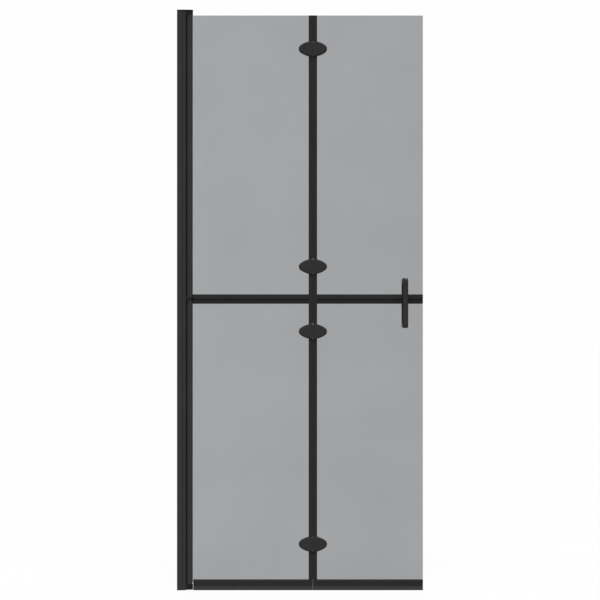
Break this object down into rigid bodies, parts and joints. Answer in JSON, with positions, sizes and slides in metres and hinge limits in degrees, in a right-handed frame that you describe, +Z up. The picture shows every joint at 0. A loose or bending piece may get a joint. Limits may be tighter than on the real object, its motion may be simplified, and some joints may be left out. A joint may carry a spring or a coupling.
{
  "type": "folding shower screen",
  "caption": "Bi-fold glass shower screen on a wall channel with a pivoting stile, oval fold hinges, dark transom and bottom rails, seal strips and a bow handle.",
  "frame": {"origin": "on the wall face of the channel, in the glass plane, level with the foot of the drip seal", "axes": "+X along the closed screen away from the wall, +Y towards the shower side the outer leaf folds to, +Z up"},
  "size_m": [0.805, 0.083, 1.9],
  "materials": {
    "frame_black": "satin black powder coat",
    "fitting_black": "satin black",
    "glass": "grey tinted, clear",
    "seal": "black seal",
    "block_plastic": "matte black",
    "steel": "stainless"
  },
  "bodies": {
    "wall_frame": {"wall_channel_lower": "frame_black", "wall_channel_upper": "frame_black", "pivot_jamb_lower": "frame_black", "pivot_jamb_upper": "frame_black", "column_screws": "steel", "channel_joiner": "frame_black", "jamb_seals": "seal", "top_cap": "block_plastic", "bottom_pivot_block": "block_plastic", "mid_pivot_block": "block_plastic", "top_pivot_block": "block_plastic", "pivot_bushes": "block_plastic"},
    "inner_leaf": {"inner_stile_lower": "frame_black", "inner_stile_upper": "frame_black", "stile_end_plugs": "block_plastic", "pivot_pins": "steel", "inner_transom_upper": "frame_black", "inner_transom_lower": "block_plastic", "inner_bottom_rail": "frame_black", "inner_end_caps": "block_plastic", "inner_drip_seal": "seal", "inner_glazing_gaskets": "seal", "inner_glass_upper": "glass", "inner_glass_lower": "glass", "inner_fold_seal": "seal", "hinge_1_inner_front_plate": "fitting_black", "hinge_1_inner_rear_plate": "fitting_black", "hinge_2_inner_front_plate": "fitting_black", "hinge_2_inner_rear_plate": "fitting_black", "hinge_3_inner_front_plate": "fitting_black", "hinge_3_inner_rear_plate": "fitting_black", "hinge_4_inner_front_plate": "fitting_black", "hinge_4_inner_rear_plate": "fitting_black", "inner_hinge_gaskets": "seal", "inner_leaf_screws": "steel", "hinge_pins": "steel"},
    "outer_leaf": {"outer_transom_upper": "frame_black", "outer_transom_lower": "block_plastic", "outer_bottom_rail": "frame_black", "outer_end_caps": "block_plastic", "outer_drip_seal": "seal", "outer_glazing_gaskets": "seal", "outer_glass_upper": "glass", "outer_glass_lower": "glass", "outer_fold_seal": "seal", "hinge_1_outer_front_plate": "fitting_black", "hinge_1_outer_rear_plate": "fitting_black", "hinge_2_outer_front_plate": "fitting_black", "hinge_2_outer_rear_plate": "fitting_black", "hinge_3_outer_front_plate": "fitting_black", "hinge_3_outer_rear_plate": "fitting_black", "hinge_4_outer_front_plate": "fitting_black", "hinge_4_outer_rear_plate": "fitting_black", "outer_hinge_gaskets": "seal", "outer_leaf_screws": "steel", "front_handle": "fitting_black", "rear_handle": "fitting_black", "handle_studs": "steel", "handle_washers": "block_plastic"}
  },
  "joints": [
    {"name": "wall_pivot", "type": "hinge", "parent": "wall_frame", "child": "inner_leaf", "pos_m": [0.039, 0, 0], "axis": [0, 0, -1], "range_deg": [-90, 90]},
    {"name": "fold", "type": "hinge", "parent": "inner_leaf", "child": "outer_leaf", "pos_m": [0.4446, 0.0125, 0], "axis": [0, 0, 1], "range_deg": [0, 170]}
  ]
}
